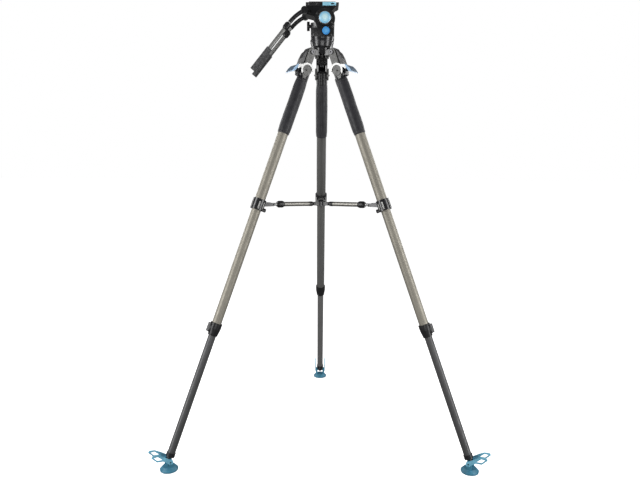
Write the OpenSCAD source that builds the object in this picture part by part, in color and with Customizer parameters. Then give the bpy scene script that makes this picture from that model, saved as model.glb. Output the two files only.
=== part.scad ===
// Three-section video tripod with a mid-level spreader and a fluid head.
// The head's plate looks along X, the pan bars hang towards -X, the rear leg points to +Y.

/* [Stance] */
// Height of the leg hinges above the floor
hinge_z = 1394; // [1380:1:1400]
// Distance of the leg hinges from the tripod's axis
hinge_r = 49; // [48:0.5:50]
// Lean of the opened legs from the vertical, degrees
leg_lean = 21.5; // [21:0.1:22]
// How far the tube's axis is set in from the hinge
tube_set_in = 5.5; // [5:0.1:6]
// Where the tripod's axis stands along Y
axis_y = -150.2; // [-160:0.1:-130]

/* [Leg tubes] */
// Outer diameter of the upper tube
upper_d = 36; // [35:0.5:37]
// Outer diameter of the middle tube
middle_d = 32.2; // [31.8:0.1:32.3]
// Outer diameter of the lower tube
lower_d = 26; // [25:0.5:27]
// Wall of the tubes
tube_wall = 1.6; // [1.4:0.1:1.7]
// Outer diameter of the padded sleeve
sleeve_d = 42; // [41:0.5:44]
// Distance from hinge to the top of the padded sleeve
sleeve_top = 96; // [94:1:100]
// Distance from hinge to the bottom of the padded sleeve
sleeve_end = 298; // [280:1:310]
// Distance from hinge to the middle of the upper lock
upper_lock_s = 556; // [552:1:560]
// Distance from hinge to the middle of the lower lock
lower_lock_s = 1003; // [995:1:1010]
// Distance from hinge to the end of the lower tube
lower_end_s = 1447; // [1445:1:1449]

/* [Spreader] */
// Distance of the hub's pivots from the axis
hub_r = 28; // [27:0.5:29]
// Distance from the tube's axis to the pivot on the leg
lug_reach = 47; // [46.5:0.5:48]
// Outer diameter of the spreader's arms
arm_d = 16; // [15:0.5:17]
// Diameter of the spreader's sliding rods
rod_d = 10; // [9:0.5:10.5]

/* [Head] */
// Height of the bowl's rim
rim_z = 1432; // [1432:0.5:1433]
// Outer diameter of the bowl
bowl_d = 82; // [81:0.5:84]
// Height of the tilt axis
tilt_z = 1503; // [1502:1:1504]
// Offset of the tilt axis from the tripod's axis
tilt_x = 9; // [8:1:10]
// Diameter of the large tilt knob
tilt_knob_d = 52; // [50:0.5:52]
// Height of the platform's top
platform_z = 1560; // [1559:1:1561]
// Length of the platform
platform_l = 113; // [110:1:116]
// Offset of the pan bars from the middle of the head
bar_y = 46; // [46:1:50]
// Diameter of the pan bars
bar_d = 14; // [13:0.5:15]

/* [Hidden] */
SIDES = ["left", "right", "rear"];
LEG_AZIMUTH = [210, 330, 90];
// the side of each leg that the spreader's release knob is on
KNOB_SIDE = [1, -1, 1];
LEG_PARTS = ["shoulder", "side_plates", "upper_tube", "sleeve", "upper_lock", "middle_tube",
    "lower_lock", "lower_tube", "spiked_foot", "foot_pad", "leg_lever", "spreader_arm", "spreader_rod"];
ENDS = ["near", "far"];
$fn = 96;

black = [0.09, 0.09, 0.10];
graphite = [0.25, 0.25, 0.24];
titanium = [0.46, 0.46, 0.44];
silver = [0.78, 0.78, 0.77];
blue = [0.36, 0.66, 0.80];
teal = [0.25, 0.48, 0.55];
carbon = [0.45, 0.44, 0.40];

// running clearance of pins and shafts, and the gap kept between parts that pass each other
run = 0.05;
gap = 0.3;
// half width of the crown's tongue and outer face of the leg's side plates
tongue_w = 15;
plate_in = tongue_w + gap;
plate_out = 20;
bolt_r = 4;
// centre of the leg lever's pivot, in the leg's own frame
lever_x = 2;
lever_s = 66;
lever_band_in = 17.5;
// top of the upper tube, and the shoulder's ring around it
tube_top = 74;
ring_r = 19.5;
// lock barrels
lock_len = 38;
lock_r = 23;
lock_flat = 20;
// pivot of the spreader on the leg, in the leg's own frame
lug_x = tube_set_in + lug_reach;
lug_s = upper_lock_s - 17;
lug_r = hinge_r + lug_s * sin(leg_lean) - lug_x * cos(leg_lean);
lug_z = hinge_z - lug_s * cos(leg_lean) - lug_x * sin(leg_lean);
hub_z = lug_z - 3;
arm_len = norm([lug_r - hub_r, lug_z - hub_z]);
arm_tilt = atan2(hub_z - lug_z, lug_r - hub_r);
arm_collar_end = arm_len - 21;
arm_collar_len = 26;
arm_collar_r = 12;
// inner and outer faces of the hub's cheeks, and of the leg's fork, which the arm's collar passes through
cheek_in = 6;
cheek_out = 9.5;
fork_in = arm_collar_r + gap;
fork_out = fork_in + 3;
// the foot: its ball joint and pad
ball_s = lower_end_s + 12;
ball_x = tube_set_in;
ball_z = hinge_z - ball_s * cos(leg_lean) - ball_x * sin(leg_lean);
ball_r = hinge_r + ball_s * sin(leg_lean) - ball_x * cos(leg_lean);
// the head
ball_seat_r = 37;
pan_z = rim_z + 9;
// room over the rim for the head to be levelled, and the ball under the crown that the knob rides on
level_room = 4;
boss_r = 46;
stud_bottom = 1350;
tie_knob_z = 1357;
// the camera platform: its underside, the floor of its channel, and the plate that slides in it
platform_bottom = 1547;
channel_z = 1552;
plate_z = channel_z + gap;
plate_h = 12.7;
camera_screw_x = [-14, 8];
screw_shank_r = [4.9, 6.2];
lever_pin = [42, -37.7];
cheek_y = 44;
bar_start_x = -60;
bar_start_z = 1531;
bar_bend_r = 150;
bar_head_angle = 26;
bar_angle = 51;
// how far the far bar's grip is drawn out
far_grip_out = 9;

// ---- placing ----

module on_axis(z = 0) { translate([0, axis_y, z]) children(); }

// the leg's own frame: origin at its hinge, +Z down along the leg, +X towards the tripod's axis
module leg_frame(i) {
    on_axis(hinge_z) rotate([0, 0, LEG_AZIMUTH[i]]) translate([hinge_r, 0, 0])
        rotate([0, 180 - leg_lean, 0]) children();
}

// the same frame moved onto the tube's axis, at distance s from the hinge
module on_tube(s) { translate([tube_set_in, 0, s]) children(); }

// the spreader arm's frame: origin at its hub pivot, +X out along the arm
module arm_frame(i) {
    on_axis(hub_z) rotate([0, 0, LEG_AZIMUTH[i]]) translate([hub_r, 0, 0])
        rotate([0, arm_tilt, 0]) children();
}

// the foot pad's frame: origin at its ball, +X outwards, +Z up
module foot_frame(i) {
    on_axis(ball_z) rotate([0, 0, LEG_AZIMUTH[i]]) translate([ball_r, 0, 0]) children();
}

// the head's frame: origin on the tilt axis
module head_frame() { on_axis(tilt_z) translate([tilt_x, 0, 0]) children(); }

// a cylinder along Y on the near side, s = -1, or the far side, s = 1
module side_cylinder(s, r, y0, y1) { along_y(r, min(s * y0, s * y1), max(s * y0, s * y1)); }

// a cylinder along Y, between y0 and y1
module along_y(r, y0, y1) { translate([0, y1, 0]) rotate([90, 0, 0]) cylinder(r = r, h = y1 - y0); }

// an outline in X-Z, extruded along Y between y0 and y1
module slab(y0, y1) { translate([0, y1, 0]) rotate([90, 0, 0]) linear_extrude(y1 - y0) children(); }

// both the slab and its mirror image across Y = 0
module slab_pair(y0, y1) {
    slab(y0, y1) children();
    slab(-y1, -y0) children();
}

module tube(r, wall, h) {
    difference() {
        cylinder(r = r, h = h);
        translate([0, 0, -1]) cylinder(r = r - wall, h = h + 2);
    }
}

// ---- crown and bowl ----

crown_top = 1412;
crown_bottom = 1392;

module crown() {
    color(black) difference() {
        union() {
            on_axis(crown_bottom) cylinder(r = 27, h = crown_top - crown_bottom);
            on_axis(crown_top + 5) cylinder(r1 = bowl_d / 2 - 4, r2 = bowl_d / 2, h = rim_z - crown_top - 5);
            for (a = LEG_AZIMUTH) on_axis(hinge_z) rotate([0, 0, a]) tongue();
            for (a = [30:60:330]) on_axis(crown_top - 6) rotate([0, 0, a]) bowl_post();
            intersection() {
                on_axis(rim_z) sphere(r = boss_r);
                on_axis(crown_bottom - 10) cylinder(r = 22, h = 12);
            }
        }
        intersection() {
            on_axis(rim_z) sphere(r = ball_seat_r + gap);
            on_axis(crown_top) cylinder(r = bowl_d, h = 60);
        }
        on_axis(crown_bottom - 10) cylinder(r = 12, h = 60);
        for (i = [0:2]) on_axis(hinge_z) rotate([0, 0, LEG_AZIMUTH[i]])
            translate([hinge_r, 0, 0]) along_y(bolt_r + run, -20, 20);
    }
}

// the tongue that carries one leg's hinge
module tongue() {
    difference() {
        slab(-tongue_w, tongue_w) {
            translate([hinge_r, 0]) circle(r = 12);
            translate([15, -8]) square([hinge_r - 15, 19]);
        }
        translate([0, 0, -9]) cylinder(r = 24, h = crown_bottom - hinge_z + 9);
    }
}

// the post that carries the bowl above the crown, leaving windows beside it
module bowl_post() { translate([20, -6.5, 0]) cube([16.5, 13, 14]); }

module hinge_bolts() {
    color(graphite) for (i = [0:2]) leg_frame(i) {
        along_y(bolt_r, -22, 22);
        for (turn = [0, 180]) rotate([0, 0, turn]) hex_head();
    }
}

module hex_head() {
    translate([0, plate_out + gap + 4.5, 0]) rotate([90, 0, 0]) difference() {
        cylinder(r = 7.4, h = 4.5);
        translate([0, 0, -1]) cylinder(r = 3.5, h = 3.5, $fn = 6);
    }
}

// ---- levelling ball ----

module half_ball() {
    color(titanium) {
        on_axis(rim_z) difference() {
            sphere(r = ball_seat_r);
            translate([0, 0, level_room]) cylinder(r = 60, h = 60);
            translate([0, 0, -60]) cylinder(r = 60, h = 60 - 14);
        }
        on_axis(stud_bottom) cylinder(r = 5, h = rim_z - 12 - stud_bottom);
    }
}

// the knob under the crown that pulls the half ball down, with its cupped washer
module tie_down_knob() {
    color(black) on_axis(tie_knob_z) difference() {
        union() {
            cylinder(r = 17, h = 22);
            for (a = [0:30:330]) rotate([0, 0, a]) translate([17, 0, 0]) cylinder(r = 3, h = 20);
            translate([0, 0, 22]) cylinder(r1 = 15, r2 = 17, h = 11);
        }
        translate([0, 0, rim_z - tie_knob_z]) sphere(r = boss_r + gap);
        translate([0, 0, -1]) cylinder(r = 5 + run, h = 40);
    }
}

// ---- leg: hip ----

module shoulder() {
    color(black) difference() {
        union() {
            slab(-14, 14) shoulder_arch();
            on_tube(54) cylinder(r = ring_r, h = 42);
        }
        slab(-9, 9) shoulder_recess();
        on_tube(tube_top) cylinder(r = upper_d / 2, h = 60);
        translate([lever_x, 0, lever_s]) along_y(3 + run, -40, 40);
    }
}

// outline of the curved arm from over the hinge, down the outside, to the tube's top
module shoulder_arch() {
    difference() {
        union() {
            circle(r = 16.5);
            polygon([[-16.5, 0], [-23, 12], [-26.5, 34], [-26.5, 62], [-19, 90], [6, 90], [6, 52],
                [-12, 40], [0, 16.5]]);
        }
        circle(r = 12 + gap);
        polygon([[0, 0], [0, -20], [30, -20], [30, 45], [14, 45]]);
    }
}

// the hollow behind the arm's outer skin
module shoulder_recess() {
    polygon([[-13, 17], [-18, 22], [-20, 36], [-20, 55], [-15, 57], [-13, 46]]);
}

module side_plates() {
    color(titanium) difference() {
        slab_pair(plate_in, plate_out) difference() {
            union() {
                circle(r = 13);
                polygon([[-13, 0], [-12, 60], [-9, 78], [-4, 98], [1, 98], [12, 82], [15, 66],
                    [13, 40], [13, 0]]);
                translate([lever_x, lever_s]) circle(r = 15);
            }
            translate([-16, 96]) circle(r = 13);
        }
        along_y(bolt_r + run, -40, 40);
        on_tube(53) cylinder(r = ring_r + run, h = 60);
        on_tube(sleeve_top - gap) cylinder(r = sleeve_d / 2 + gap, h = 20);
        translate([lever_x, 0, lever_s]) along_y(3 + run, -40, 40);
    }
}

// lever that frees the leg's angle: a banded disc on each side and a blade on the outside
module leg_lever() {
    translate([lever_x, 0, lever_s]) {
        color(titanium) slab_pair(plate_out + gap, plate_out + 2.5) circle(r = lever_band_in);
        color(silver) slab_pair(plate_out + gap, plate_out + 5) lever_band();
        color(black) along_y(3, -plate_out - 8, plate_out + 8);
        color(blue) slab(-plate_out - 5, plate_out + 5) lever_blade();
    }
}

// outline of the band, seen along the pivot: it wraps the disc's upper side and runs outwards
module lever_band() {
    difference() {
        circle(r = 24);
        circle(r = lever_band_in);
        rotate(-12) translate([-10, 0]) square([60, 60]);
        translate([-14, 6]) square([60, 60]);
    }
    polygon([[-17.5, -6], [-21, -12], [-36, -5], [-40, 6], [-34, 11], [-27, 2]]);
}

module lever_blade() {
    polygon([[-34, -1], [-37, 8], [-42, 22], [-50, 30], [-52, 27], [-48, 12], [-42, 0], [-36, -5]]);
}

// ---- leg: tubes and locks ----

module upper_tube() {
    color(carbon) on_tube(tube_top) tube(upper_d / 2, tube_wall, upper_lock_s - tube_top - 2);
}

module sleeve() {
    color(black) on_tube(sleeve_top)
        tube(sleeve_d / 2, sleeve_d / 2 - upper_d / 2 - 0.02, sleeve_end - sleeve_top);
}

// lock barrel on the upper tube, with the spreader's lug and the lug's release knob
module upper_lock(side) {
    color(black) difference() {
        union() {
            on_tube(upper_lock_s - lock_len / 2) difference() {
                cylinder(r = lock_r, h = lock_len);
                translate([lock_flat, -30, -1]) cube([10, 60, lock_len + 2]);
            }
            spreader_lug();
            on_tube(upper_lock_s + 14) rotate([0, 90, side * 48]) {
                cylinder(r = 3.5, h = 27);
                translate([0, 0, 25]) cylinder(r = 6.5, h = 7);
            }
        }
        on_tube(upper_lock_s - 40) cylinder(r = upper_d / 2, h = 38);
        on_tube(upper_lock_s - 5) cylinder(r = middle_d / 2 + gap, h = 60);
        for (a = [60, 105, 180, 255, 300]) on_tube(upper_lock_s - 11) rotate([0, 0, a])
            translate([lock_r - 1.2, -2.5, 0]) cube([5, 5, 26]);
    }
}

// the fork that the rod's cross pin ends between
module spreader_lug() {
    slab_pair(fork_in, fork_out) difference() {
        union() {
            polygon([[lug_x - 2, lug_s - 5.6], [lug_x + 2, lug_s + 5.6], [tube_set_in + 15, lug_s + 19],
                [tube_set_in + 15, lug_s + 4]]);
            translate([lug_x, lug_s]) circle(r = 6);
        }
        translate([lug_x, lug_s]) circle(r = 2.5);
    }
}

module middle_tube() {
    color(carbon) {
        on_tube(upper_lock_s - 70) tube(middle_d / 2, tube_wall, lower_lock_s - upper_lock_s + 68);
    }
}

module lower_lock() {
    color(black) difference() {
        on_tube(lower_lock_s - 22) {
            cylinder(r = 20, h = 18);
            translate([0, 0, 18]) cylinder(r1 = 20, r2 = 16, h = 26);
            translate([-25.5, -9, 4]) cube([12, 18, 30]);
        }
        on_tube(lower_lock_s - 40) cylinder(r = middle_d / 2, h = 38);
        on_tube(lower_lock_s - 5) cylinder(r = lower_d / 2 + gap, h = 60);
    }
}

module lower_tube() {
    color(graphite) {
        on_tube(lower_lock_s - 70) tube(lower_d / 2, tube_wall, lower_end_s - 4 - lower_lock_s + 70);
        on_tube(lower_lock_s - 70) tube(middle_d / 2 - tube_wall - gap, 2.5, 20);
    }
}

// ---- foot ----

module spiked_foot() {
    color(black) difference() {
        union() {
            on_tube(lower_end_s - 14) cylinder(r = 15, h = 14);
            on_tube(lower_end_s - 1) cylinder(r = 8, h = 12);
            on_tube(ball_s) sphere(r = 9);
            on_tube(ball_s) along_y(5, -18, 18);
        }
        on_tube(lower_end_s - 20) cylinder(r = lower_d / 2, h = 16);
    }
}

// rubber pad hung on the foot's cross pin, with two pull loops
module foot_pad() {
    color(teal) {
        difference() {
            union() {
                translate([0, 0, -ball_z]) cylinder(r1 = 29, r2 = 30, h = 5);
                translate([0, 0, 5 - ball_z]) cylinder(r1 = 30, r2 = 21, h = 10);
                pad_yoke();
            }
            along_y(5 + run, -40, 40);
        }
        pull_loops();
    }
}

module pad_yoke() {
    slab_pair(12, 20) {
        circle(r = 9);
        translate([-9, 12 - ball_z]) square([18, ball_z - 12]);
    }
}

// the two looped tabs that rise outwards from the yoke
module pull_loops() {
    slab_pair(19, 23) difference() {
        union() {
            circle(r = 8);
            polygon([[-4, 6], [6, -4], [24, 10], [44, 12], [62, 30], [58, 36], [40, 34], [22, 24]]);
        }
        circle(r = 3);
        polygon([[25, 15], [43, 16.5], [55, 29.5], [42, 30]]);
    }
}

// ---- spreader ----

module spreader_hub() {
    color(graphite) on_axis(hub_z) difference() {
        union() {
            translate([0, 0, -8]) cylinder(r = 17, h = 16);
            translate([0, 0, 8]) cylinder(r1 = 17, r2 = 12, h = 6);
            for (a = LEG_AZIMUTH) rotate([0, 0, a]) {
                slab_pair(cheek_in, cheek_out) {
                    translate([hub_r, 0]) circle(r = 6);
                    translate([10, -6]) square([hub_r - 10, 12]);
                }
                translate([hub_r, 0, 0]) along_y(2.5, -cheek_out - 2, cheek_out + 2);
            }
        }
        translate([0, 0, -9]) cylinder(r = 5, h = 40);
    }
}

// outer tube of the spreader's arm, with its end block and twist lock
module spreader_arm() {
    color(black) difference() {
        union() {
            slab(-5.6, 5.6) {
                circle(r = 6.5);
                translate([0, -5]) square([14, 10]);
            }
            translate([9, 0, 0]) rotate([0, 90, 0]) cylinder(r = 8.4, h = 14);
        }
        along_y(2.5 + run, -20, 20);
    }
    color(titanium) difference() {
        translate([23, 0, 0]) rotate([0, 90, 0])
            cylinder(r = arm_d / 2, h = arm_collar_end - arm_collar_len - 23 + 2);
        translate([24, 0, 0]) rotate([0, 90, 0]) cylinder(r = rod_d / 2 + gap, h = 200);
    }
    color(black) translate([arm_collar_end - arm_collar_len, 0, 0]) rotate([0, 90, 0]) difference() {
        union() {
            cylinder(r1 = 9.5, r2 = arm_collar_r, h = 6);
            translate([0, 0, 6]) cylinder(r = arm_collar_r, h = 14);
            translate([0, 0, 20]) cylinder(r1 = arm_collar_r, r2 = 9, h = 6);
        }
        translate([0, 0, -1]) cylinder(r = arm_d / 2, h = 3);
        translate([0, 0, -2]) cylinder(r = rod_d / 2 + gap, h = 60);
    }
}

module spreader_rod() {
    color(silver) translate([62, 0, 0]) rotate([0, 90, 0]) cylinder(r = rod_d / 2, h = arm_len - 62 - 4);
    color(black) {
        translate([arm_len - 4, 0, 0]) rotate([0, 90, 0]) cylinder(r = rod_d / 2, h = 4);
        translate([arm_len, 0, 0]) sphere(r = rod_d / 2);
        translate([arm_len, 0, 0]) along_y(3.5, run - fork_in, fork_in - run);
    }
}

// ---- head: base and pan housing ----

module head_base() {
    color(black) {
        on_axis(rim_z + level_room) cylinder(r = bowl_d / 2, h = pan_z - rim_z - level_room - gap);
        on_axis(pan_z - gap) cylinder(r = 14, h = 12);
    }
}

module pan_housing() {
    color(black) difference() {
        union() {
            on_axis(pan_z) intersection() {
                cylinder(r1 = 42, r2 = 52, h = 51);
                translate([-39, -46, 0]) cube([81, 92, 51]);
            }
            head_frame() slab_pair(cheek_y, cheek_y + 6) {
                circle(r = 35);
                translate([-46, pan_z + 4 - tilt_z]) square([78, 28]);
            }
        }
        head_frame() along_y(34 + gap, -cheek_y, cheek_y);
        head_frame() along_y(8 + run, -60, 60);
        on_axis(pan_z - 1) cylinder(r = 14 + run, h = 14);
    }
}

module tilt_cartridge() {
    color(graphite) head_frame() {
        along_y(8, -cheek_y - 12, cheek_y + 6);
        along_y(22, -28, 28);
    }
}

// ---- head: tilting body ----

module tilt_body() {
    color(black) difference() {
        head_frame() union() {
            along_y(34, 0.3 - cheek_y, cheek_y - 0.3);
            slab(-33, 33) polygon([[-58, 43.7], [-70, 38], [-76, 28], [-64, 18], [-40, 12], [-28, -6],
                [30, 6], [22, 27], [38, 43.7]]);
        }
        head_frame() along_y(22 + gap, -28 - gap, 28 + gap);
        head_frame() along_y(8 + run, -60, 60);
        head_frame() slab(-50, 50) translate([-52, 26]) circle(r = 5);
    }
}

// rosettes on both sides of the tilting body, with their clamp screws
module bar_clamps() {
    color(graphite) for (s = [-1, 1]) translate([bar_start_x, axis_y, bar_start_z]) {
        side_cylinder(s, 12, 33, bar_y - 8);
        side_cylinder(s, 4, 33, bar_y + 12);
        side_cylinder(s, 9, bar_y + 8, bar_y + 14);
    }
}

module platform() {
    color(black) on_axis() difference() {
        slab(-34, 34) polygon([[-platform_l / 2, platform_bottom], [50, platform_bottom],
            [platform_l / 2, channel_z], [platform_l / 2, platform_z], [-platform_l / 2, platform_z]]);
        translate([-60, -24 - gap, channel_z]) cube([120, 48 + 2 * gap, 20]);
        translate([0, -35, platform_bottom + 0.7]) cube([48, 3, 20]);
    }
    color(black) on_axis() {
        translate([37.5, -42, platform_bottom - 1.5]) cube([9, 9.5, 2.2]);
        translate([lever_pin[0], lever_pin[1], platform_bottom]) cylinder(r = 1.5 - run, h = 11);
    }
}

module camera_plate() {
    color(graphite) on_axis() difference() {
        translate([-46, -24, plate_z]) cube([92, 48, plate_h]);
        for (i = [0, 1]) translate([camera_screw_x[i], 0, channel_z]) {
            cylinder(r = 8, h = 6);
            cylinder(r = screw_shank_r[i] + run, h = 20);
        }
    }
}

module camera_screws() {
    color(silver) on_axis() {
        for (i = [0, 1]) translate([camera_screw_x[i], 0, plate_z]) {
            cylinder(r = 7.5, h = 5.4);
            cylinder(r = screw_shank_r[i], h = plate_h);
            cylinder(r = [3.175, 4.7625][i], h = plate_h + [5.5, 6][i]);
        }
    }
}

module plate_lever() {
    color(blue) on_axis(platform_bottom + 1) difference() {
        union() {
            translate([1, -41, 0]) cube([lever_pin[0] - 1, 6.6, 11]);
            translate([lever_pin[0], lever_pin[1], 0]) cylinder(r = 5, h = 11);
        }
        translate([30, -45, 3]) cube([10, 6, 5]);
        translate([lever_pin[0], lever_pin[1], -1]) cylinder(r = 1.5, h = 20);
    }
}

// ---- head: knobs ----

module tilt_knob() {
    head_frame() difference() {
        union() {
            color(black) along_y(tilt_knob_d / 2, -66, -cheek_y - 8.3);
            color(blue) intersection() {
                along_y(19, -73, -65);
                translate([0, -38, 0]) sphere(r = 35);
            }
        }
        along_y(8 + run, -57, -30);
    }
}

module balance_knob() {
    translate([13, axis_y, 1461]) {
        color(black) along_y(15, -61, -cheek_y - 6 - gap);
        color(blue) along_y(13, -63, -61);
    }
}

module pan_lock_knob() {
    color(black) translate([-39 - gap, axis_y - 12, 1485]) rotate([0, -90, 0]) {
        cylinder(r = 6, h = 5);
        translate([0, 0, 4]) cylinder(r = 15.5, h = 9);
    }
}

// ---- pan bars ----

// moves its children to the bar's straight stretch: +Z runs down along the bar
module bar_frame(s) {
    translate([bar_start_x, axis_y + s * bar_y, bar_start_z]) translate(bar_bend_end())
        rotate([0, -90 - bar_angle, 0]) children();
}

// end of the bend, measured from the rosette
function bar_bend_end() = [
    -bar_bend_r * (sin(bar_angle) - sin(bar_head_angle)),
    0,
    bar_bend_r * (cos(bar_angle) - cos(bar_head_angle))
];

module pan_bar(s) {
    color(titanium) difference() {
        union() {
            translate([bar_start_x, axis_y + s * bar_y, bar_start_z]) {
                along_y(12, -7.7, 7.7);
                translate([bar_bend_r * sin(bar_head_angle), 0, -bar_bend_r * cos(bar_head_angle)])
                    rotate([90, 0, 0]) rotate([0, 0, 90 + bar_head_angle])
                    rotate_extrude(angle = bar_angle - bar_head_angle)
                    translate([bar_bend_r, 0]) circle(r = bar_d / 2);
            }
            bar_frame(s) translate([0, 0, -4]) cylinder(r = 5, h = 169);
        }
        translate([bar_start_x, axis_y + s * bar_y, bar_start_z]) along_y(4 + run, -20, 20);
    }
}

// sliding outer tube with its twist lock and padded grip
module bar_grip(s, shift) {
    bar_frame(s) {
        color(titanium) translate([0, 0, 3 + shift]) difference() {
            union() {
                cylinder(r1 = 8, r2 = 11, h = 6);
                translate([0, 0, 6]) cylinder(r = 11, h = 14);
                translate([0, 0, 20]) cylinder(r1 = 11, r2 = 8, h = 6);
                cylinder(r = bar_d / 2, h = 190);
            }
            translate([0, 0, -1]) cylinder(r = 5 + gap, h = 188);
        }
        color(black) translate([0, 0, 110 + shift]) difference() {
            cylinder(r = 10, h = 93);
            translate([0, 0, -1]) cylinder(r = bar_d / 2, h = 84);
        }
    }
}

// ---- the assembly, one line a node ----

module leg_part(part) {
    if (part == "shoulder") shoulder();
    if (part == "side_plates") side_plates();
    if (part == "upper_tube") upper_tube();
    if (part == "sleeve") sleeve();
    if (part == "middle_tube") middle_tube();
    if (part == "lower_lock") lower_lock();
    if (part == "lower_tube") lower_tube();
    if (part == "spiked_foot") spiked_foot();
    if (part == "leg_lever") leg_lever();
}

crown();
hinge_bolts();
half_ball();
tie_down_knob();
spreader_hub();
for (i = [0:2]) {
    for (part = LEG_PARTS) leg_frame(i) leg_part(part);
    leg_frame(i) upper_lock(KNOB_SIDE[i]);
    foot_frame(i) foot_pad();
    arm_frame(i) spreader_arm();
    arm_frame(i) spreader_rod();
}
head_base();
pan_housing();
tilt_cartridge();
tilt_body();
bar_clamps();
tilt_knob();
balance_knob();
pan_lock_knob();
platform();
camera_plate();
camera_screws();
plate_lever();
pan_bar(-1);  // pan_bar_near
pan_bar(1);  // pan_bar_far
bar_grip(-1, 0);  // bar_grip_near
bar_grip(1, far_grip_out);  // bar_grip_far
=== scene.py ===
"""The looks of the tripod with fluid head: materials, soft sleeves, small detail, light and camera."""

from math import cos, pi, radians, sin

import bpy
from mathutils import Matrix, Vector, noise


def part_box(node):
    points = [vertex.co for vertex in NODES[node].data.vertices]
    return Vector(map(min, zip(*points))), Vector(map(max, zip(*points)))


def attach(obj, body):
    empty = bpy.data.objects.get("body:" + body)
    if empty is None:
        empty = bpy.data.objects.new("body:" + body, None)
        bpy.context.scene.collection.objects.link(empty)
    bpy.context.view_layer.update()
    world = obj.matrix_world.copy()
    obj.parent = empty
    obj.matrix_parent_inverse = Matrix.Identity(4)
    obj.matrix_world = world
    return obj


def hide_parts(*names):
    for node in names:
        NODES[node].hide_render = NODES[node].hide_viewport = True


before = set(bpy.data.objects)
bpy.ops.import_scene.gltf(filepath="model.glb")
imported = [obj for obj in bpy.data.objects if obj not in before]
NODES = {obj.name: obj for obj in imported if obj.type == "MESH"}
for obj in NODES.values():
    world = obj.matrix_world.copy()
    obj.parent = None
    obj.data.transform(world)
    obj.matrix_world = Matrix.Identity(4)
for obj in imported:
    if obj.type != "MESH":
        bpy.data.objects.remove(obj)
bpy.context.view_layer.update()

# ---- the frame's own dimensions, in metres and degrees ----

# Names that end in _S, and the sleeve's ends, are distances down a leg from its hinge.
# Names that end in _OUT are distances from the tripod's axis towards the near side.
MM = 0.001
SIDES = ("left", "right", "rear")
AZIMUTH = {"left": 210, "right": 330, "rear": 90}
AXIS_Y = -0.1502
HINGE_Z = 1.394
HINGE_R = 0.049
LEG_LEAN = 21.5
TUBE_SET_IN = 0.0055
SLEEVE_TOP = 0.096
SLEEVE_END = 0.298
UPPER_LOCK_S = 0.556
LOWER_END_S = 1.447
LEVER_PIVOT = Vector((0.002, 0, 0.066))
TILT = Vector((0.009, AXIS_Y, 1.503))
TILT_DIAL_R = 0.0205
TILT_DIAL_OUT = 0.0660
BALANCE = Vector((0.013, AXIS_Y - 0.0515, 1.461))
BALANCE_DIAL_R = 0.0135
BALANCE_DIAL_OUT = 0.0610
BAR_START = {
    "near": Vector((-0.060, AXIS_Y - 0.046, 1.531)),
    "far": Vector((-0.060, AXIS_Y + 0.046, 1.531)),
}
BAR_BEND_R = 0.150
BAR_HEAD_ANGLE = 26
BAR_ANGLE = 51
GRIP_SHIFT = {"near": 0.0, "far": 0.009}
EDGE_ROUND = 0.5 * MM
TOW = 2.5 * MM


def turn(axis, degrees):
    """A turn about a world or local axis."""
    return Matrix.Rotation(radians(degrees), 4, axis)


def facing_near(spot):
    """Origin at a point, +Z towards the near side."""
    return Matrix.Translation(spot) @ turn("X", 90)


def leg_frame(side):
    """Origin at the hinge, +Z down along the leg, +X towards the tripod's axis."""
    place = Matrix.Translation((0, AXIS_Y, HINGE_Z)) @ turn("Z", AZIMUTH[side])
    return place @ Matrix.Translation((HINGE_R, 0, 0)) @ turn("Y", 180 - LEG_LEAN)


def tube_frame(side, s=0.0):
    """The leg frame moved onto the tubes' axis, `s` down from the hinge."""
    return leg_frame(side) @ Matrix.Translation((TUBE_SET_IN, 0, s))


def foot_frame(side):
    """Origin at the foot's ball, +X outwards, +Z up."""
    ball = tube_frame(side, LOWER_END_S + 0.012).translation
    return Matrix.Translation(ball) @ turn("Z", AZIMUTH[side])


def bar_frame(end):
    """Origin at the end of the bar's bend, +Z down along its straight stretch."""
    drop = cos(radians(BAR_ANGLE)) - cos(radians(BAR_HEAD_ANGLE))
    reach = sin(radians(BAR_ANGLE)) - sin(radians(BAR_HEAD_ANGLE))
    start = BAR_START[end] + Vector((-BAR_BEND_R * reach, 0, BAR_BEND_R * drop))
    return Matrix.Translation(start) @ turn("Y", -90 - BAR_ANGLE)


# ---- node helpers ----

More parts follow.
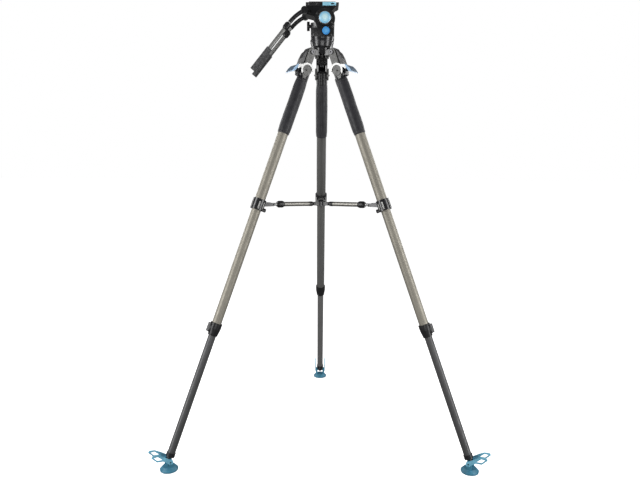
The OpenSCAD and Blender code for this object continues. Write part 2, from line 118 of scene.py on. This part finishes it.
class Shader:
    """A Principled material whose colour, roughness and bump come from procedural nodes."""

    def __init__(self, name, place=None, **sockets):
        self.material = bpy.data.materials.new(name)
        self.material.use_nodes = True
        self.tree = self.material.node_tree
        self.bsdf = self.tree.nodes["Principled BSDF"]
        for socket, value in sockets.items():
            self.bsdf.inputs[socket.replace("_", " ")].default_value = value
        self.where = self.coordinates(place)

    def add(self, kind, **settings):
        node = self.tree.nodes.new(kind)
        for key, value in settings.items():
            setattr(node, key, value)
        return node

    def feed(self, socket, value):
        if isinstance(value, bpy.types.NodeSocket):
            self.tree.links.new(value, socket)
        else:
            socket.default_value = value

    def coordinates(self, place):
        """Object coordinates, moved into the frame `place` so that a pattern follows its part."""
        out = self.add("ShaderNodeTexCoord").outputs["Object"]
        if place is None:
            return out
        mapping = self.add("ShaderNodeMapping")
        location, rotation, _ = place.inverted().decompose()
        mapping.inputs["Location"].default_value = location
        mapping.inputs["Rotation"].default_value = rotation.to_euler()
        self.feed(mapping.inputs["Vector"], out)
        return mapping.outputs["Vector"]

    def math(self, operation, a, b=0.0):
        node = self.add("ShaderNodeMath", operation=operation)
        self.feed(node.inputs[0], a)
        self.feed(node.inputs[1], b)
        return node.outputs[0]

    def noise(self, scale, detail=3.0, stretch=None):
        vector = self.where
        if stretch:
            node = self.add("ShaderNodeVectorMath", operation="MULTIPLY")
            self.feed(node.inputs[0], vector)
            node.inputs[1].default_value = stretch
            vector = node.outputs[0]
        node = self.add("ShaderNodeTexNoise")
        self.feed(node.inputs["Vector"], vector)
        node.inputs["Scale"].default_value = scale
        node.inputs["Detail"].default_value = detail
        return node.outputs[0]

    def cells(self, scale, feature="F1"):
        node = self.add("ShaderNodeTexVoronoi", feature=feature)
        self.feed(node.inputs["Vector"], self.where)
        node.inputs["Scale"].default_value = scale
        return node.outputs["Distance"]

    def spread(self, value, low, high, start=0.3, end=0.7):
        """Maps start to end onto low to high."""
        node = self.add("ShaderNodeMapRange")
        self.feed(node.inputs["Value"], value)
        for key, number in (("From Min", start), ("From Max", end), ("To Min", low), ("To Max", high)):
            node.inputs[key].default_value = number
        return node.outputs[0]

    def blend(self, factor, a, b):
        node = self.add("ShaderNodeMix", data_type="RGBA")
        self.feed(node.inputs[0], factor)
        for socket, value in ((node.inputs[6], a), (node.inputs[7], b)):
            self.feed(socket, (*value, 1.0) if isinstance(value, tuple) else value)
        return node.outputs[2]

    def worn_edges(self, amount):
        """How far a point lies on an outer edge, broken up by noise."""
        edge = self.spread(self.add("ShaderNodeNewGeometry").outputs["Pointiness"], 0.0, amount, 0.53, 0.62)
        return self.math("MULTIPLY", edge, self.spread(self.noise(220.0), 0.0, 1.0, 0.35, 0.65))

    def finish(self, colour, roughness, height, strength, depth=0.0003):
        """Feeds the shader and returns the material. `height` drives the bump."""
        self.feed(self.bsdf.inputs["Base Color"], colour)
        self.feed(self.bsdf.inputs["Roughness"], roughness)
        bump = self.add("ShaderNodeBump")
        bump.inputs["Strength"].default_value = strength
        bump.inputs["Distance"].default_value = depth
        self.feed(bump.inputs["Height"], height)
        self.feed(self.bsdf.inputs["Normal"], bump.outputs[0])
        return self.material


# ---- materials ----

def shade(colour, factor):
    """A colour made lighter or darker."""
    return tuple(min(1.0, c * factor) for c in colour)


def casting(name, colour, rough, worn=(0.30, 0.30, 0.29), lacquer=0.0):
    """Paint over a casting: sprayed grain, faint patches and rubbed edges, with or without lacquer."""
    s = Shader(name, Coat_Weight=lacquer, Coat_Roughness=0.16)
    tone = s.blend(s.spread(s.noise(38.0), 0.0, 1.0), shade(colour, 0.88), shade(colour, 1.15))
    tone = s.blend(s.worn_edges(0.45), tone, worn)
    grain = s.math("ADD", s.noise(1500.0, 2.0), s.math("MULTIPLY", s.noise(420.0), 0.6))
    sheen = s.spread(s.noise(90.0), rough - 0.07, rough + 0.09)
    return s.finish(tone, sheen, grain, 0.22, 0.00012)


def plastic(name, colour, rough):
    """Moulded plastic with a spark-eroded grain and faint handling shine."""
    s = Shader(name)
    tone = s.blend(s.spread(s.noise(60.0), 0.0, 1.0), shade(colour, 0.85), shade(colour, 1.2))
    tone = s.blend(s.worn_edges(0.25), tone, shade(colour, 3.2))
    sheen = s.spread(s.noise(130.0), rough - 0.1, rough + 0.08)
    return s.finish(tone, sheen, s.cells(1900.0), 0.25, 0.0001)


def machined(name, colour, rough, stretch=(1, 1, 24)):
    """Bare or anodised metal with fine turning marks."""
    s = Shader(name, Metallic=0.9)
    marks = s.noise(160.0, 4.0, stretch)
    tone = s.blend(s.spread(marks, 0.0, 1.0), shade(colour, 0.86), shade(colour, 1.08))
    tone = s.blend(s.worn_edges(0.35), tone, (0.9, 0.9, 0.89))
    return s.finish(tone, s.spread(marks, rough - 0.04, rough + 0.08), marks, 0.05, 0.0001)


def anodised(name, colour, rough, metallic):
    """Light coloured satin finish under a thin clear coat."""
    s = Shader(name, Metallic=metallic, Coat_Weight=0.5, Coat_Roughness=0.12)
    tone = s.blend(s.spread(s.noise(75.0), 0.0, 1.0), shade(colour, 0.9), shade(colour, 1.1))
    tone = s.blend(s.worn_edges(0.5), tone, (0.85, 0.92, 0.95))
    sheen = s.spread(s.noise(210.0), rough - 0.05, rough + 0.08)
    return s.finish(tone, sheen, s.noise(1200.0), 0.08, 0.00008)


def dial(name, place, radius, middle, rim):
    """A knob's satin cap about the +Z of `place`: a painted highlight makes it pale in the middle, and it
    is deeper in its own colour towards its rim.
    """
    s = Shader(name, place, Coat_Weight=0.5, Coat_Roughness=0.12)
    split = s.add("ShaderNodeSeparateXYZ")
    s.feed(split.inputs[0], s.where)
    x_squared, y_squared = (s.math("MULTIPLY", split.outputs[axis], split.outputs[axis]) for axis in (0, 1))
    reach = s.math("SQRT", s.math("ADD", x_squared, y_squared))
    # Painted highlight: the colour `middle` at the axis fades out to the cap's own colour `rim`.
    tone = s.blend(s.spread(reach, 0.0, 1.0, 0.25 * radius, radius), middle, rim)
    tone = s.blend(s.spread(s.noise(75.0), 0.0, 0.2), tone, shade(rim, 0.9))
    return s.finish(tone, s.spread(s.noise(210.0), 0.25, 0.38), s.noise(1200.0), 0.08, 0.00008)


def carbon(name, side, colour, radius, lacquer):
    """Two-by-two twill wound around the tube, under lacquer."""
    s = Shader(name, tube_frame(side), Metallic=0.7, Coat_Weight=lacquer, Coat_Roughness=0.24)
    split = s.add("ShaderNodeSeparateXYZ")
    s.feed(split.inputs[0], s.where)
    around = s.math("MULTIPLY", s.math("ARCTAN2", split.outputs[1], split.outputs[0]), radius / TOW)
    along = s.math("DIVIDE", split.outputs[2], TOW)
    step = s.math("ADD", s.math("FLOOR", around), s.math("FLOOR", along))
    weave = s.math("LESS_THAN", s.math("FLOORED_MODULO", step, 4.0), 2.0)
    arch_a = s.math("ABSOLUTE", s.math("SINE", s.math("MULTIPLY", around, pi)))
    arch_b = s.math("ABSOLUTE", s.math("SINE", s.math("MULTIPLY", along, pi)))
    crown = s.math("ADD", s.math("MULTIPLY", weave, arch_a),
                   s.math("MULTIPLY", s.math("SUBTRACT", 1.0, weave), arch_b))
    tone = s.blend(weave, shade(colour, 0.93), shade(colour, 1.05))
    tone = s.blend(s.spread(s.noise(24.0), 0.0, 0.35), tone, shade(colour, 1.3))
    rough = s.math("ADD", s.math("MULTIPLY", weave, 0.03), s.spread(s.noise(70.0), 0.50, 0.60))
    return s.finish(tone, rough, crown, 0.03, 0.0001)


def rubber(name, colour, rough):
    """Moulded rubber: matt, a little dusty, with a fine pitted skin."""
    s = Shader(name)
    tone = s.blend(s.spread(s.noise(55.0), 0.0, 1.0), shade(colour, 0.8), shade(colour, 1.18))
    tone = s.blend(s.worn_edges(0.4), tone, shade(colour, 1.9))
    sheen = s.spread(s.noise(180.0), rough - 0.1, rough + 0.1)
    return s.finish(tone, sheen, s.noise(1600.0, 2.0), 0.3, 0.00015)


def leatherette(name, side):
    """Padded sleeve skin: pebbled grain with creases, slightly shiny where it is stretched."""
    s = Shader(name, tube_frame(side), Sheen_Weight=0.15, Sheen_Roughness=0.45)
    pebble = s.cells(420.0, "DISTANCE_TO_EDGE")
    patches = s.spread(s.noise(30.0), 0.0, 1.0)
    tone = s.blend(patches, (0.015, 0.015, 0.019), (0.032, 0.031, 0.038))
    tone = s.blend(s.spread(pebble, 0.5, 0.0, 0.0, 0.25), tone, (0.007, 0.007, 0.008))
    height = s.math("ADD", s.math("MINIMUM", pebble, 0.3), s.math("MULTIPLY", s.noise(70.0), 0.35))
    return s.finish(tone, s.spread(s.noise(60.0), 0.42, 0.60), height, 0.5, 0.0005)


def foam(name, end):
    """Mottled foam rubber of the hand grips."""
    s = Shader(name, bar_frame(end))
    pores = s.cells(900.0)
    mottle = s.spread(s.noise(260.0, 5.0), 0.0, 1.0, 0.38, 0.62)
    tone = s.blend(mottle, (0.038, 0.038, 0.040), (0.120, 0.120, 0.124))
    height = s.math("ADD", pores, s.noise(500.0))
    return s.finish(tone, s.spread(s.noise(150.0), 0.6, 0.82), height, 0.55, 0.0003)


def backdrop_material(name, colour):
    """A white that glows enough to hide its own shading."""
    s = Shader(name, Emission_Color=(1, 1, 1, 1), Emission_Strength=0.9)
    tone = s.blend(s.spread(s.noise(2.0), 0.0, 1.0), shade(colour, 0.995), colour)
    return s.finish(tone, 0.85, s.noise(40.0), 0.02)


CARBON_GREY = (0.335, 0.315, 0.268)
CARBON_NEAR = {
    "upper": CARBON_GREY,
    "middle": CARBON_GREY,
    "lower": (0.105, 0.105, 0.107),
}
# Painted light and shade: the rear leg's tubes are the same carbon as the near legs', toned darker at the
# upper and middle tubes and lighter at the lower one to copy how the light falls on that leg.
CARBON_REAR_PAINTED_LIGHT_AND_SHADE = {
    "upper": (0.135, 0.134, 0.130),
    "middle": (0.185, 0.184, 0.179),
    "lower": (0.250, 0.249, 0.246),
}
BLACK_CASTING = casting("black_casting", (0.007, 0.007, 0.009), 0.33)
GREY_CASTING = casting("grey_casting", (0.128, 0.128, 0.122), 0.40, (0.50, 0.50, 0.48))
ARM_GREY = machined("arm_grey", (0.31, 0.30, 0.275), 0.42)
GLOSS_BLACK = casting("gloss_black", (0.006, 0.006, 0.008), 0.28, lacquer=0.5)
TUBE_GREY = machined("tube_grey", (0.33, 0.33, 0.32), 0.44)
BLACK_PLASTIC = plastic("black_plastic", (0.009, 0.009, 0.010), 0.38)
GREY_FACET = plastic("grey_facet", (0.11, 0.11, 0.112), 0.36)
DARK_STEEL = machined("dark_steel", (0.11, 0.11, 0.115), 0.32)
LEVER_METAL = machined("lever_metal", (0.36, 0.36, 0.355), 0.36)
# Painted reflection: the bright stripes on the upper locks' glossy faces, where the lamps would be
# reflected.
LOCK_PAINTED_REFLECTION = casting("lock_painted_reflection", (0.62, 0.62, 0.60), 0.34, (0.8, 0.8, 0.79))
SILVER = machined("silver", (0.68, 0.68, 0.67), 0.32)
GRAPHITE = machined("graphite", (0.10, 0.10, 0.102), 0.36, (24, 1, 1))
# The tilt and balance knobs' caps: their own blue, with a painted highlight in the middle.
PALE_DIAL_PAINTED_HIGHLIGHT = dial("pale_dial_painted_highlight", facing_near(TILT), TILT_DIAL_R, (0.72, 0.98, 1.0), (0.17, 0.60, 0.95))
BLUE_DIAL_PAINTED_HIGHLIGHT = dial("blue_dial_painted_highlight", facing_near(BALANCE), BALANCE_DIAL_R, (0.14, 0.48, 0.90), (0.03, 0.27, 0.70))
LEVER_BLUE = anodised("lever_blue", (0.33, 0.73, 0.95), 0.3, 0.1)
STEEL_BLUE = anodised("steel_blue", (0.07, 0.16, 0.27), 0.3, 0.4)
PAD_TEAL = rubber("pad_teal", (0.055, 0.24, 0.36), 0.46)
EAR_BLUE = rubber("ear_blue", (0.23, 0.60, 0.80), 0.4)


# ---- finishing the frame's own pieces ----

# Where one material gives way to the next on a piece, in metres in that piece's own frame.
# The band on each upper lock's face that is painted with a reflection.
LOCK_REFLECTION_R = (0.0212, 0.0224)
LOCK_REFLECTION_HALF = 0.018
LOCK_FACET_X = -0.0225
LEVER_BLADE_X = -0.0335
LEVER_BOSS_R = 0.0174
LEVER_BOSS_Y = 0.02
EAR_Y = 0.0188
EAR_Z = -0.006
ARM_ROOT = 0.0505
ARM_CUFF = 0.0265
ROD_EYE = 0.0095
FOAM_START = 0.109
FOAM_BORE_R = 0.0069
COLLAR_END = 0.0295


def coat(node, *materials, choose=None):
    """Gives a node its materials. `choose` picks one for each face from its centre."""
    mesh = NODES[node].data
    mesh.materials.clear()
    for material in materials:
        mesh.materials.append(material)
    for face in mesh.polygons:
        face.material_index = choose(face.center) if choose else 0


def soften(node):
    """Rounds a node's sharp edges so that they catch the light as real ones do."""
    piece = NODES[node]
    weld = piece.modifiers.new("weld", "WELD")
    weld.merge_threshold = 0.00001
    bevel = piece.modifiers.new("edges", "BEVEL")
    bevel.width = EDGE_ROUND
    bevel.segments = 2
    bevel.limit_method = "ANGLE"
    bevel.angle_limit = radians(38)
    bevel.use_clamp_overlap = True
    normals = piece.modifiers.new("normals", "WEIGHTED_NORMAL")
    normals.keep_sharp = True


def local(place):
    """A function that takes a point into the frame `place`."""
    inverse = place.inverted()
    return lambda point: inverse @ point


def finish_leg(side):
    """Materials of everything on one leg except its soft sleeve."""
    to_leg = local(leg_frame(side))
    to_tube = local(tube_frame(side))
    to_foot = local(foot_frame(side))
    coat(f"shoulder_{side}", BLACK_CASTING)
    coat(f"side_plates_{side}", GREY_CASTING)
    # The rear leg's tubes get painted light and shade instead of the near legs' own tones.
    tones_and_painted_shade = CARBON_REAR_PAINTED_LIGHT_AND_SHADE if side == "rear" else CARBON_NEAR
    for section, radius, lacquer in (("upper", 0.018, 0.1), ("middle", 0.0161, 0.1), ("lower", 0.013, 0.3)):
        weave = carbon(f"carbon_{section}_{side}", side, tones_and_painted_shade[section], radius, lacquer)
        coat(f"{section}_tube_{side}", weave)
    coat(f"spiked_foot_{side}", BLACK_CASTING)

    def lock_face(centre):
        p = to_tube(centre)
        reach = (p.x ** 2 + p.y ** 2) ** 0.5
        on_painted_reflection = LOCK_REFLECTION_R[0] < reach < LOCK_REFLECTION_R[1]
        return 1 if on_painted_reflection and abs(p.z - UPPER_LOCK_S) < LOCK_REFLECTION_HALF else 0

    # Painted reflection: a bright stripe on each upper lock, on top of its real gloss.
    coat(f"upper_lock_{side}", GLOSS_BLACK, LOCK_PAINTED_REFLECTION, choose=lock_face)

    def lower_lock_face(centre):
        return 1 if to_tube(centre).x < LOCK_FACET_X else 0

    coat(f"lower_lock_{side}", BLACK_PLASTIC, GREY_FACET, choose=lower_lock_face)

    def lever_face(centre):
        p = to_leg(centre) - LEVER_PIVOT
        if p.x < LEVER_BLADE_X:
            return 1
        reach = (p.x ** 2 + p.z ** 2) ** 0.5
        return 2 if reach < LEVER_BOSS_R and abs(p.y) > LEVER_BOSS_Y else 0

    coat(f"leg_lever_{side}", LEVER_METAL, STEEL_BLUE, GREY_CASTING, choose=lever_face)

    def pad_face(centre):
        p = to_foot(centre)
        return 1 if abs(p.y) > EAR_Y and p.z > EAR_Z else 0

    coat(f"foot_pad_{side}", PAD_TEAL, EAR_BLUE, choose=pad_face)


def finish_spreader(side):
    """Materials of one spreader arm and rod: black ends, metal between them."""
    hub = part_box("spreader_hub")
    centre_z = (hub[0].z + hub[1].z) / 2
    out = Vector((cos(radians(AZIMUTH[side])), sin(radians(AZIMUTH[side])), 0))
    centre = Vector((0, AXIS_Y, centre_z))
    reach = max((v.co - centre).dot(out) for v in NODES[f"spreader_arm_{side}"].data.vertices)

    def arm_face(point):
        along = (point - centre).dot(out)
        return 0 if along < ARM_ROOT or along > reach - ARM_CUFF else 1

    coat(f"spreader_arm_{side}", BLACK_PLASTIC, ARM_GREY, choose=arm_face)
    tip = max((v.co - centre).dot(out) for v in NODES[f"spreader_rod_{side}"].data.vertices)

    def rod_face(point):
        return 1 if (point - centre).dot(out) > tip - ROD_EYE else 0

    coat(f"spreader_rod_{side}", LEVER_METAL, BLACK_PLASTIC, choose=rod_face)


def finish_bar(end):
    """Materials of one grip bar: black bend, bright inner bar, grey tube, foam grip and black collar."""
    to_bar = local(bar_frame(end))
    out = GRIP_SHIFT[end]

    def bar_face(centre):
        return 1 if to_bar(centre).z > 0.0 else 0

    coat(f"pan_bar_{end}", GLOSS_BLACK, SILVER, choose=bar_face)

    def grip_face(centre):
        p = to_bar(centre)
        reach = (p.x ** 2 + p.y ** 2) ** 0.5
        if p.z > FOAM_START + out and reach > FOAM_BORE_R:
            return 1
        return 2 if p.z < COLLAR_END + out else 0

    coat(f"bar_grip_{end}", TUBE_GREY, foam(f"foam_{end}", end), BLACK_PLASTIC, choose=grip_face)


def finish_head():
    """Materials of the crown, the head, its knobs and the camera plate."""
    for node in ("crown", "head_base", "pan_housing"):
        coat(node, GLOSS_BLACK)
    for node in ("tilt_body", "platform"):
        coat(node, BLACK_CASTING)
    for node in ("tie_down_knob", "pan_lock_knob", "bar_clamps"):
        coat(node, BLACK_PLASTIC)
    coat("half_ball", DARK_STEEL)
    coat("hinge_bolts", DARK_STEEL)
    coat("spreader_hub", GLOSS_BLACK)
    coat("tilt_cartridge", DARK_STEEL)
    coat("camera_plate", GRAPHITE)
    coat("camera_screws", SILVER)

    def beyond(reach):
        return lambda centre: 1 if centre.y < AXIS_Y - reach - 0.1 * MM else 0

    def lever_slot(centre):
        return 1 if 0.0299 < centre.x < 0.0401 and 1.5509 < centre.z < 1.5561 else 0

    coat("tilt_knob", BLACK_PLASTIC, PALE_DIAL_PAINTED_HIGHLIGHT, choose=beyond(TILT_DIAL_OUT))
    coat("balance_knob", BLACK_PLASTIC, BLUE_DIAL_PAINTED_HIGHLIGHT, choose=beyond(BALANCE_DIAL_OUT))
    coat("plate_lever", LEVER_BLUE, BLACK_PLASTIC, choose=lever_slot)


# ---- new pieces ----

def make(name, verts, faces, material, body, smooth=True):
    """A mesh piece in the row frame that rides on a body."""
    mesh = bpy.data.meshes.new(name)
    mesh.from_pydata(verts, [], faces)
    mesh.materials.append(material)
    for face in mesh.polygons:
        face.use_smooth = smooth
    mesh.validate()
    piece = bpy.data.objects.new(name, mesh)
    bpy.context.scene.collection.objects.link(piece)
    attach(piece, body)
    return piece


def grid_faces(rows, columns):
    """Faces of a grid whose columns close around."""
    faces = []
    for row in range(rows - 1):
        for column in range(columns):
            beside = (column + 1) % columns
            faces.append((row * columns + column, row * columns + beside,
                          (row + 1) * columns + beside, (row + 1) * columns + column))
    return faces


def lathe(name, place, profile, material, body, columns=72, swell=None):
    """Turns (radius, height) pairs about the +Z of `place`, plus what `swell` adds to the radius."""
    verts = []
    for radius, height in profile:
        for column in range(columns):
            angle = 2 * pi * column / columns
            r = radius + (swell(angle, height) if swell else 0.0)
            verts.append(place @ Vector((r * cos(angle), r * sin(angle), height)))
    faces = grid_faces(len(profile), columns)
    last = (len(profile) - 1) * columns
    faces.append(tuple(reversed(range(columns))))
    faces.append(tuple(range(last, last + columns)))
    make(name, verts, faces, material, body)


SLEEVE_BORE_R = 0.01815
SLEEVE_R = 0.0195
SLEEVE_LIP = 3 * MM
SEAM_ANGLE = pi * 0.04


def sleeve_radius(side, angle, t):
    """Outer radius of the padded sleeve at a turn and a share of its length."""
    seed = {"left": 3.1, "right": 8.7, "rear": 14.2}[side]
    pad = 0.0021 * min(1.0, (1 - abs(2 * t - 1) ** 6) * 1.15)
    fold = noise.noise(Vector((cos(angle) * 1.3 + seed, sin(angle) * 1.3, t * 4.0))) * 0.0007
    ripple = noise.noise(Vector((cos(angle) * 2.5 + seed, sin(angle) * 2.5, t * 17.0))) * 0.00035
    seam = -0.0012 * max(0.0, 1 - abs(angle - SEAM_ANGLE) / 0.07)
    hem = -0.0009 * sum(max(0.0, 1 - abs(t - line) / 0.007) for line in (0.05, 0.95))
    return SLEEVE_R + pad + fold + ripple + seam + hem


def padded_sleeve(side):
    """A foam-backed sleeve: crowned between stitched hems, with a seam on its inner side."""
    columns, rows = 120, 110
    length = SLEEVE_END - SLEEVE_TOP
    place = tube_frame(side)
    inner = SLEEVE_BORE_R
    verts = []
    for row in range(rows):
        t = row / (rows - 1)
        lip = min(t, 1 - t) * length
        rounding = 1.0 if lip > SLEEVE_LIP else (1 - (1 - lip / SLEEVE_LIP) ** 2) ** 0.5
        for column in range(columns):
            angle = 2 * pi * column / columns
            r = inner + (sleeve_radius(side, angle, t) - inner) * rounding
            verts.append(place @ Vector((r * cos(angle), r * sin(angle), SLEEVE_TOP + t * length)))
    for t in (1.0, 0.0):
        for column in range(columns):
            angle = 2 * pi * column / columns
            verts.append(place @ Vector((inner * cos(angle), inner * sin(angle), SLEEVE_TOP + t * length)))
    faces = grid_faces(rows + 2, columns)
    last = (rows + 1) * columns
    faces += [(last + c, last + (c + 1) % columns, (c + 1) % columns, c) for c in range(columns)]
    skin = leatherette(f"leatherette_{side}", side)
    piece = make(f"padded_sleeve_{side}", verts, faces, skin, f"leg_{side}")
    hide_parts(f"sleeve_{side}")


def stitches(side, thread):
    """Thread along the seam and around both hems."""
    place = tube_frame(side)
    length = SLEEVE_END - SLEEVE_TOP
    spots = [(SEAM_ANGLE + offset, 0.07 + 0.86 * k / 41) for k in range(42) for offset in (-0.13, 0.13)]
    spots += [(2 * pi * k / 34, t) for k in range(34) for t in (0.038, 0.962)]
    verts, faces = [], []
    for angle, t in spots:
        radius = sleeve_radius(side, angle % (2 * pi), t)
        upright = 0.07 <= t <= 0.93
        half_long, half_wide = 0.0014, 0.00028
        base = len(verts)
        for lift, spread in ((0.0, 1.0), (0.00035, 0.6)):
            for a, b in ((-1, -1), (1, -1), (1, 1), (-1, 1)):
                along = (half_long if upright else half_wide) * a * spread
                side_step = (half_wide if upright else half_long) * b * spread / radius
                r = radius + lift
                verts.append(place @ Vector((r * cos(angle + side_step), r * sin(angle + side_step),
                                             SLEEVE_TOP + t * length + along)))
        faces.append((base + 4, base + 5, base + 6, base + 7))
        faces += [(base + k, base + (k + 1) % 4, base + 4 + (k + 1) % 4, base + 4 + k) for k in range(4)]
    make(f"sleeve_stitches_{side}", verts, faces, thread, f"leg_{side}", smooth=False)


def ribbed_ring(name, place, radius, height, material, body, ribs, depth):
    """The gripping rim of a knob."""
    inner = radius - 0.0015
    profile = [(inner, 0.0), (radius, 0.0012), (radius, height - 0.0012), (inner, height)]

    def rib(angle, z):
        return depth * (0.5 + 0.5 * cos(angle * ribs)) if 0.0005 < z < height - 0.0005 else 0.0

    lathe(name, place, profile, material, body, columns=ribs * 6, swell=rib)


def small_screw(name, place, radius, material, body):
    """A socket screw's head, standing just proud along +Z."""
    profile = [(radius, 0.0), (radius, 0.0008), (radius * 0.9, 0.0012), (radius * 0.55, 0.0012),
               (radius * 0.5, 0.0004)]
    lathe(name, place, profile, material, body, columns=36)


def knob_trim():
    """Ribbed rims on the two near knobs and a bright bezel around the larger one's dial."""
    ribbed_ring("tilt_knob_rim", facing_near(TILT + Vector((0, -0.0535, 0))),
                0.0255, 0.0115, BLACK_PLASTIC, "tilt_knob", 30, 0.0009)
    ribbed_ring("balance_knob_rim", facing_near(BALANCE),
                0.0148, 0.0085, BLACK_PLASTIC, "balance_knob", 22, 0.0006)
    ring = [(TILT_DIAL_R, 0.0), (TILT_DIAL_R, 0.0007), (TILT_DIAL_R - 0.0013, 0.0011),
            (TILT_DIAL_R - 0.0015, 0.0)]
    front = TILT + Vector((0, -TILT_DIAL_OUT, 0))
    lathe("tilt_knob_bezel", facing_near(front), ring, SILVER, "tilt_knob")


def head_screws():
    """Socket screws in the pan housing and along the platform's near side."""
    spots = ((-0.030, 1.449), (0.033, 1.449), (-0.033, 1.475), (0.036, 1.478))
    for number, (x, z) in enumerate(spots):
        spot = Vector((x, AXIS_Y - 0.050, z))
        small_screw(f"housing_screw_{number}", facing_near(spot), 0.0026, DARK_STEEL, "pan_head")
    for number, x in enumerate((-0.046, -0.020)):
        spot = Vector((x, AXIS_Y - 0.034, 1.5535))
        small_screw(f"platform_screw_{number}", facing_near(spot), 0.0024, DARK_STEEL, "tilt_head")


def sleeve_tab():
    """The small pull tab on the right leg's shoulder."""
    place = leg_frame("right") @ Matrix.Translation((0.0262, 0.0, 0.100))
    half = (0.0021, 0.0055, 0.0150)
    cut = 0.0012
    verts, faces = [], []
    for z, inset in ((-half[2], cut), (-half[2] + cut, 0), (half[2] - cut, 0), (half[2], cut)):
        x, y = half[0] - inset, half[1] - inset
        ring = ((x, y - cut), (x - cut, y), (-x + cut, y), (-x, y - cut),
                (-x, -y + cut), (-x + cut, -y), (x - cut, -y), (x, -y + cut))
        verts += [place @ Vector((a, b, z)) for a, b in ring]
    faces = grid_faces(4, 8) + [tuple(reversed(range(8))), tuple(range(24, 32))]
    make("sleeve_tab_right", verts, faces, BLACK_PLASTIC, "leg_right", smooth=False)


# ---- light, floor and camera ----

SURROUND = 0.17


def area_light(name, spot, aim, size, power):
    """A white rectangular lamp at `spot` that faces `aim`."""
    light = bpy.data.lights.new(name, "AREA")
    light.shape = "RECTANGLE"
    light.size, light.size_y = size
    light.energy = power
    holder = bpy.data.objects.new(name, light)
    holder.location = spot
    holder.rotation_euler = (Vector(aim) - Vector(spot)).to_track_quat("-Z", "Y").to_euler()
    bpy.context.scene.collection.objects.link(holder)


def studio():
    """A white surround that only the camera sees, over a dimmer one that lights the object."""
    scene = bpy.context.scene
    scene.view_settings.view_transform = "Standard"
    world = bpy.data.worlds.new("studio")
    world.use_nodes = True
    tree = world.node_tree
    background = tree.nodes["Background"]
    background.inputs["Color"].default_value = (1.0, 1.0, 1.0, 1.0)
    seen = tree.nodes.new("ShaderNodeLightPath").outputs["Is Camera Ray"]
    strength = tree.nodes.new("ShaderNodeMapRange")
    strength.inputs["To Min"].default_value = SURROUND
    strength.inputs["To Max"].default_value = 1.0
    tree.links.new(seen, strength.inputs["Value"])
    tree.links.new(strength.outputs[0], background.inputs["Strength"])
    scene.world = world
    mesh = bpy.data.meshes.new("floor")
    reach = 30.0
    mesh.from_pydata([(-reach, -reach, 0), (reach, -reach, 0), (reach, reach, 0), (-reach, reach, 0)],
                     [], [(0, 1, 2, 3)])
    mesh.materials.append(backdrop_material("floor", (0.93, 0.93, 0.93)))
    floor = bpy.data.objects.new("floor", mesh)
    floor.location.z = -0.0005
    floor.visible_diffuse = False
    floor.visible_glossy = False
    scene.collection.objects.link(floor)
    area_light("key", (-2.1, -1.45, 1.20), (0.0, -0.2, 0.90), (0.9, 2.4), 40)
    area_light("fill", (2.1, -1.35, 1.10), (0.0, -0.2, 0.90), (0.9, 2.4), 36)
    area_light("front", (0.2, -3.2, 0.55), (0.0, -0.2, 1.30), (1.6, 0.5), 11)
    area_light("rim_left", (-1.9, 1.1, 1.6), (0, -0.1, 1.0), (0.4, 2.0), 16)
    area_light("rim_right", (1.9, 1.1, 1.6), (0, -0.1, 1.0), (0.4, 2.0), 16)


def camera():
    """The viewpoint, at the photograph's angle."""
    data = bpy.data.cameras.new("camera")
    data.sensor_width = 36.0
    data.lens = 32.88
    data.clip_end = 100.0
    eye = bpy.data.objects.new("camera", data)
    aim = turn("Z", 0.08) @ turn("X", -7.62) @ turn("Y", -0.35) @ turn("X", 90)
    eye.matrix_world = Matrix.Translation((0, AXIS_Y - 2.119, 1.020)) @ aim
    bpy.context.scene.collection.objects.link(eye)
    bpy.context.scene.camera = eye


# ---- the scene ----

camera()
studio()
finish_head()
for side in SIDES:
    finish_leg(side)
    finish_spreader(side)
for end in ("near", "far"):
    finish_bar(end)
for node in NODES:
    if not node.startswith("sleeve_"):
        soften(node)
THREAD = plastic("thread", (0.09, 0.09, 0.092), 0.6)
for side in SIDES:
    padded_sleeve(side)
    stitches(side, THREAD)
knob_trim()
head_screws()
sleeve_tab()
